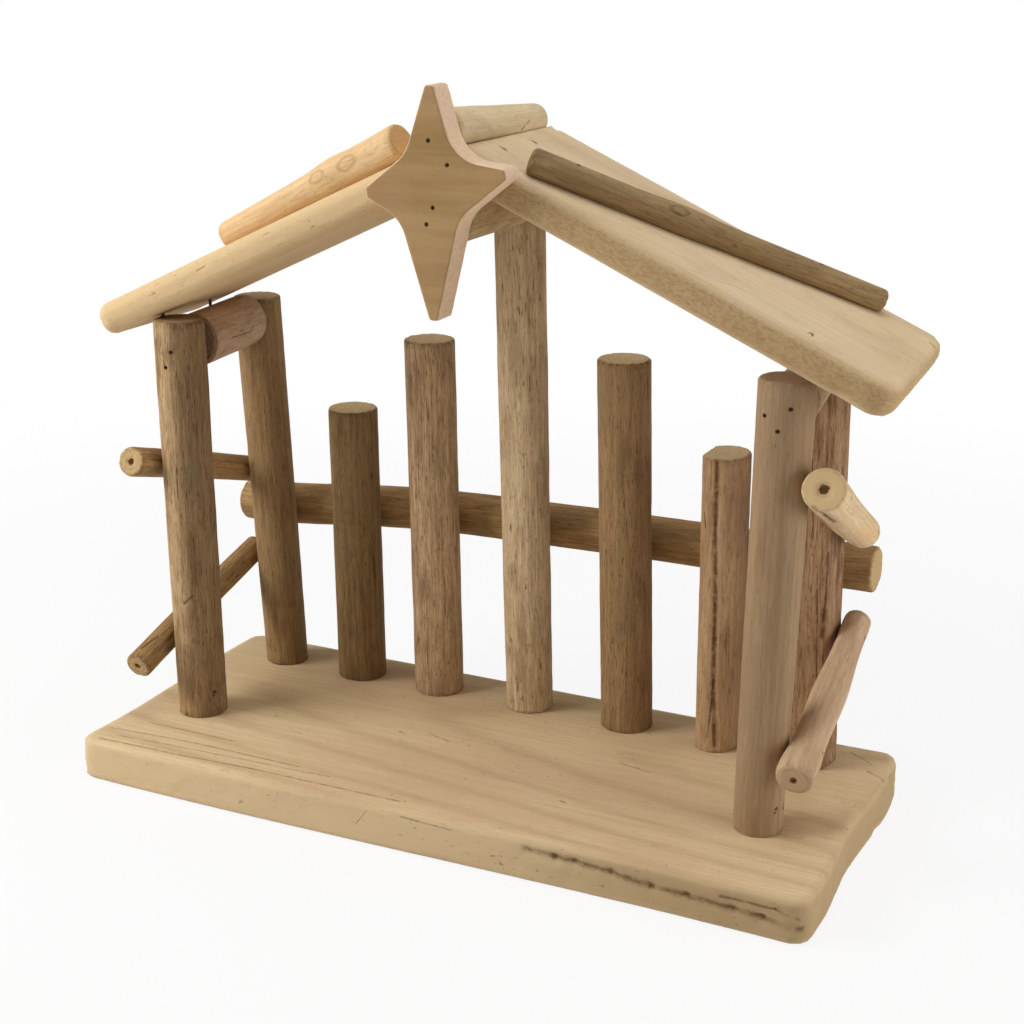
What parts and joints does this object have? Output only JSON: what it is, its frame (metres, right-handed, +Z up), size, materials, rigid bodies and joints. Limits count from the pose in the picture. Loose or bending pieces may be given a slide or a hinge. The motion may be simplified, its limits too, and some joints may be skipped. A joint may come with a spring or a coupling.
{
  "type": "nativity stable",
  "caption": "Rustic open stable of peeled sticks on a thick wooden base, with a fence of posts at the back, a pitched board roof and a flat four-pointed star at its peak, for crib figures.",
  "frame": {"origin": "on the underside of the base board, midway between the front posts and about midway front to rear", "axes": "+X to the right, +Y to the rear, +Z up"},
  "size_m": [0.2983, 0.1275, 0.2573],
  "materials": {
    "base_wood": "bare sawn, sanded arrises",
    "post_wood": "bare peeled stick, weathered",
    "stake_wood": "bare split wood, reddish",
    "rail_wood": "bare peeled stick",
    "roof_wood": "bare, sanded smooth",
    "star_wood": "bare, sawn edges",
    "pin_steel": "plain steel"
  },
  "bodies": {
    "root": {"base_board": "base_wood", "front_left_post": "post_wood", "front_right_post": "post_wood", "rear_left_post": "post_wood", "rear_right_post": "stake_wood", "left_short_picket": "post_wood", "left_tall_picket": "post_wood", "centre_post": "post_wood", "right_tall_picket": "post_wood", "right_short_picket": "post_wood", "left_roof_board": "roof_wood", "right_roof_board": "roof_wood", "ridge_beam": "post_wood", "ridge_stick": "roof_wood", "left_roof_stick": "roof_wood", "right_roof_stick": "roof_wood", "left_wall_plate": "post_wood", "right_wall_plate": "post_wood", "left_side_rail": "rail_wood", "left_brace": "rail_wood", "right_side_rail": "rail_wood", "right_brace": "rail_wood", "rear_rail": "rail_wood", "star": "star_wood", "base_screws": "pin_steel", "foot_brads": "pin_steel", "rear_rail_brads": "pin_steel", "ridge_beam_brads": "pin_steel", "roof_board_brads": "pin_steel", "roof_stick_brads": "pin_steel", "side_stick_brads": "pin_steel", "star_brads": "pin_steel", "wall_plate_brads": "pin_steel"}
  },
  "joints": []
}
